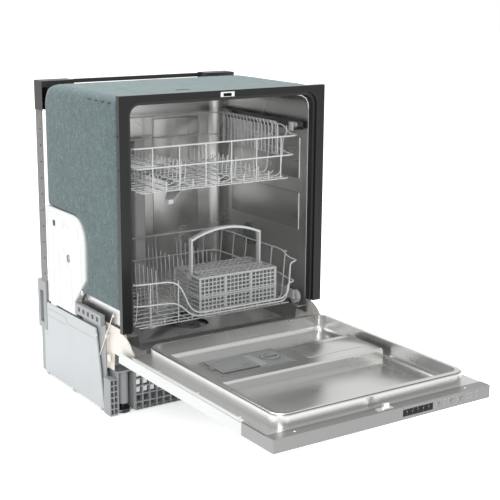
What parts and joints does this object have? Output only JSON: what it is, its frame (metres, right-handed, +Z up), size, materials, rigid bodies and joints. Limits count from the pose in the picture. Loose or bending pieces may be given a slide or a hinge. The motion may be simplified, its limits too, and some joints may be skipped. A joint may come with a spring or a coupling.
{
  "type": "built-in dishwasher",
  "caption": "Built-in dishwasher with a drop-down door, pull-out wire racks, spray arms, cutlery basket and felt-wrapped stainless tub.",
  "frame": {"origin": "floor line, midway across the width, in the plane of the tub frame's front face", "axes": "+X to the right when one faces the tub, +Y from front to back, +Z up; the open door lies towards -Y"},
  "size_m": [0.598, 1.1578, 0.815],
  "materials": {
    "black_enamel": "glossy black enamel",
    "seal_rubber": "soft black rubber",
    "bright_steel": "bright",
    "tub_steel": "bright drawn stainless steel",
    "felt": "speckled recycled felt",
    "white_moulding": "translucent white moulding",
    "galvanised": "galvanised",
    "black_moulding": "matt black moulding",
    "base_moulding": "light grey moulding",
    "side_cover": "light grey satin",
    "foot_moulding": "matt dark moulding",
    "cream_paint": "cream paint",
    "spring_steel": "plain spring steel",
    "dark_moulding": "dark moulding",
    "mesh_steel": "perforated stainless steel",
    "filter_moulding": "grey moulding",
    "arm_moulding": "light grey moulding",
    "motor_paint": "grey lacquer",
    "valve_moulding": "off-white moulding",
    "duct_moulding": "light grey moulding",
    "rack_coating": "grey nylon-coated wire",
    "rail_steel": "bright rolled steel",
    "guide_moulding": "dark grey moulding",
    "wheel_moulding": "grey moulding",
    "basket_moulding": "silver grey moulding",
    "handle_moulding": "pale grey moulding",
    "door_paint": "white paint",
    "panel_silver": "silver lacquer",
    "window_black": "glossy black",
    "key_silver": "silver",
    "dispenser_moulding": "grey moulding",
    "cap_moulding": "grey moulding"
  },
  "bodies": {
    "cabinet": {"front_frame": "black_enamel", "door_seal": "seal_rubber", "latch_strike": "bright_steel", "tub_wrapper": "tub_steel", "tub_back_wall": "tub_steel", "tub_floor": "tub_steel", "insulation_blanket": "felt", "water_reservoir": "white_moulding", "rear_posts": "galvanised", "rear_brackets": "black_moulding", "base_tray": "base_moulding", "side_panels": "side_cover", "hinge_brackets": "cream_paint", "door_springs": "spring_steel", "sump": "dark_moulding", "flat_filter": "mesh_steel", "water_softener": "valve_moulding", "wash_pump": "motor_paint", "drain_pump": "dark_moulding", "inlet_valve": "valve_moulding", "feed_conduit": "duct_moulding", "wall_vent": "filter_moulding", "rail_guides": "guide_moulding"},
    "door": {"outer_panel": "door_paint", "inner_liner": "tub_steel", "control_panel": "panel_silver", "display_window": "window_black", "door_latch": "bright_steel", "dispenser_body": "dispenser_moulding", "hinge_arms": "cream_paint"},
    "lower_rack": {"lower_rack": "rack_coating", "wheel_carriers": "wheel_moulding", "basket_body": "basket_moulding", "basket_lid": "basket_moulding"},
    "rail_left": {"rack_rail_left": "rail_steel"},
    "rail_right": {"rack_rail_right": "rail_steel"},
    "upper_rack": {"upper_rack": "rack_coating", "upper_arm_feed": "duct_moulding"},
    "foot_front_left": {"foot_front_left": "foot_moulding"},
    "foot_front_right": {"foot_front_right": "foot_moulding"},
    "foot_rear": {"foot_rear": "foot_moulding"},
    "filter_cylinder": {"filter_cylinder": "filter_moulding"},
    "lower_spray_arm": {"lower_spray_arm": "arm_moulding"},
    "salt_cap": {"salt_cap": "cap_moulding"},
    "lower_wheels_1": {"lower_wheels_1": "wheel_moulding"},
    "lower_wheels_2": {"lower_wheels_2": "wheel_moulding"},
    "lower_wheels_3": {"lower_wheels_3": "wheel_moulding"},
    "lower_wheels_4": {"lower_wheels_4": "wheel_moulding"},
    "basket_handle": {"basket_handle": "handle_moulding"},
    "rack_rollers_front": {"rack_rollers_front": "wheel_moulding"},
    "rack_rollers_rear": {"rack_rollers_rear": "wheel_moulding"},
    "upper_spray_arm": {"upper_spray_arm": "arm_moulding"},
    "cup_shelf_right": {"cup_shelf_right": "rack_coating"},
    "cup_shelf_left": {"cup_shelf_left": "rack_coating"},
    "power_key": {"power_key": "key_silver"},
    "program_key": {"program_key": "key_silver"},
    "start_key": {"start_key": "key_silver"},
    "dispenser_lid": {"dispenser_lid": "dispenser_moulding"},
    "dispenser_latch": {"dispenser_latch": "dispenser_moulding"},
    "rinse_aid_cap": {"rinse_aid_cap": "cap_moulding"}
  },
  "joints": [
    {"name": "door_hinge", "type": "hinge", "parent": "cabinet", "child": "door", "pos_m": [0, -0.011, 0.183], "axis": [1, 0, 0], "range_deg": [-90, 0]},
    {"name": "lower_rack_slide", "type": "slide", "parent": "cabinet", "child": "lower_rack", "axis": [0, -1, 0], "range_m": [0, 0.46]},
    {"name": "left_rail_slide", "type": "slide", "parent": "cabinet", "child": "rail_left", "axis": [0, -1, 0], "range_m": [0, 0.2]},
    {"name": "right_rail_slide", "type": "slide", "parent": "cabinet", "child": "rail_right", "axis": [0, -1, 0], "range_m": [0, 0.2]},
    {"name": "upper_rack_slide", "type": "slide", "parent": "rail_left", "child": "upper_rack", "axis": [0, -1, 0], "range_m": [0, 0.24]},
    {"name": "lower_arm_spin", "type": "hinge", "parent": "cabinet", "child": "lower_spray_arm", "pos_m": [0, 0.25, 0.2], "axis": [0, 0, 1], "continuous": true},
    {"name": "upper_arm_spin", "type": "hinge", "parent": "upper_rack", "child": "upper_spray_arm", "pos_m": [0, 0.25, 0.535], "axis": [0, 0, 1], "continuous": true},
    {"name": "filter_twist", "type": "hinge", "parent": "cabinet", "child": "filter_cylinder", "pos_m": [-0.015, 0.168, 0.175], "axis": [0, 0, 1], "range_deg": [0, 60]},
    {"name": "salt_cap_turn", "type": "hinge", "parent": "cabinet", "child": "salt_cap", "pos_m": [-0.15, 0.335, 0.18], "axis": [0, 0, 1], "range_deg": [0, 300]},
    {"name": "wheel_spin_1", "type": "hinge", "parent": "lower_rack", "child": "lower_wheels_1", "pos_m": [0, 0.06, 0.2383], "axis": [1, 0, 0], "continuous": true},
    {"name": "wheel_spin_2", "type": "hinge", "parent": "lower_rack", "child": "lower_wheels_2", "pos_m": [0, 0.11, 0.2383], "axis": [1, 0, 0], "continuous": true},
    {"name": "wheel_spin_3", "type": "hinge", "parent": "lower_rack", "child": "lower_wheels_3", "pos_m": [0, 0.36, 0.2383], "axis": [1, 0, 0], "continuous": true},
    {"name": "wheel_spin_4", "type": "hinge", "parent": "lower_rack", "child": "lower_wheels_4", "pos_m": [0, 0.41, 0.2383], "axis": [1, 0, 0], "continuous": true},
    {"name": "roller_spin_front", "type": "hinge", "parent": "upper_rack", "child": "rack_rollers_front", "pos_m": [0, 0.075, 0.705], "axis": [1, 0, 0], "continuous": true},
    {"name": "roller_spin_rear", "type": "hinge", "parent": "upper_rack", "child": "rack_rollers_rear", "pos_m": [0, 0.395, 0.705], "axis": [1, 0, 0], "continuous": true},
    {"name": "basket_handle_tilt", "type": "hinge", "parent": "lower_rack", "child": "basket_handle", "pos_m": [0.066, 0.112, 0.329], "axis": [1, 0, 0], "range_deg": [-60, 60]},
    {"name": "right_shelf_fold", "type": "hinge", "parent": "upper_rack", "child": "cup_shelf_right", "pos_m": [0.222, 0.234, 0.626], "axis": [0, 1, 0], "range_deg": [-88, 0]},
    {"name": "left_shelf_fold", "type": "hinge", "parent": "upper_rack", "child": "cup_shelf_left", "pos_m": [-0.222, 0.234, 0.626], "axis": [0, 1, 0], "range_deg": [-88, 0]},
    {"name": "power_key_press", "type": "slide", "parent": "door", "child": "power_key", "axis": [0, 1, 0], "range_m": [0, 0.0012], "stiffness_N_per_m": 500},
    {"name": "program_key_press", "type": "slide", "parent": "door", "child": "program_key", "axis": [0, 1, 0], "range_m": [0, 0.0012], "stiffness_N_per_m": 500},
    {"name": "start_key_press", "type": "slide", "parent": "door", "child": "start_key", "axis": [0, 1, 0], "range_m": [0, 0.0012], "stiffness_N_per_m": 500},
    {"name": "detergent_lid_flip", "type": "hinge", "parent": "door", "child": "dispenser_lid", "pos_m": [-0.146, -0.208, 0.208], "axis": [1, 0, 0], "range_deg": [-95, 0]},
    {"name": "detergent_catch_slide", "type": "slide", "parent": "door", "child": "dispenser_latch", "axis": [-1, 0, 0], "range_m": [0, 0.0025], "stiffness_N_per_m": 400},
    {"name": "rinse_cap_turn", "type": "hinge", "parent": "door", "child": "rinse_aid_cap", "pos_m": [-0.035, -0.247, 0.205], "axis": [0, 0, 1], "range_deg": [0, 90]},
    {"name": "foot_front_left_height", "type": "slide", "parent": "cabinet", "child": "foot_front_left", "axis": [0, 0, -1], "range_m": [0, 0.04]},
    {"name": "foot_front_right_height", "type": "slide", "parent": "cabinet", "child": "foot_front_right", "axis": [0, 0, -1], "range_m": [0, 0.04]},
    {"name": "foot_rear_height", "type": "slide", "parent": "cabinet", "child": "foot_rear", "axis": [0, 0, -1], "range_m": [0, 0.04]}
  ],
  "couplings": [
    {"joint": "right_rail_slide", "follows": "left_rail_slide", "ratio": 1},
    {"joint": "wheel_spin_1", "follows": "lower_rack_slide", "rad_per_m": 55.556},
    {"joint": "wheel_spin_2", "follows": "lower_rack_slide", "rad_per_m": 55.556},
    {"joint": "wheel_spin_3", "follows": "lower_rack_slide", "rad_per_m": 55.556},
    {"joint": "wheel_spin_4", "follows": "lower_rack_slide", "rad_per_m": 55.556},
    {"joint": "roller_spin_front", "follows": "upper_rack_slide", "rad_per_m": 116.28},
    {"joint": "roller_spin_rear", "follows": "upper_rack_slide", "rad_per_m": 116.28}
  ]
}
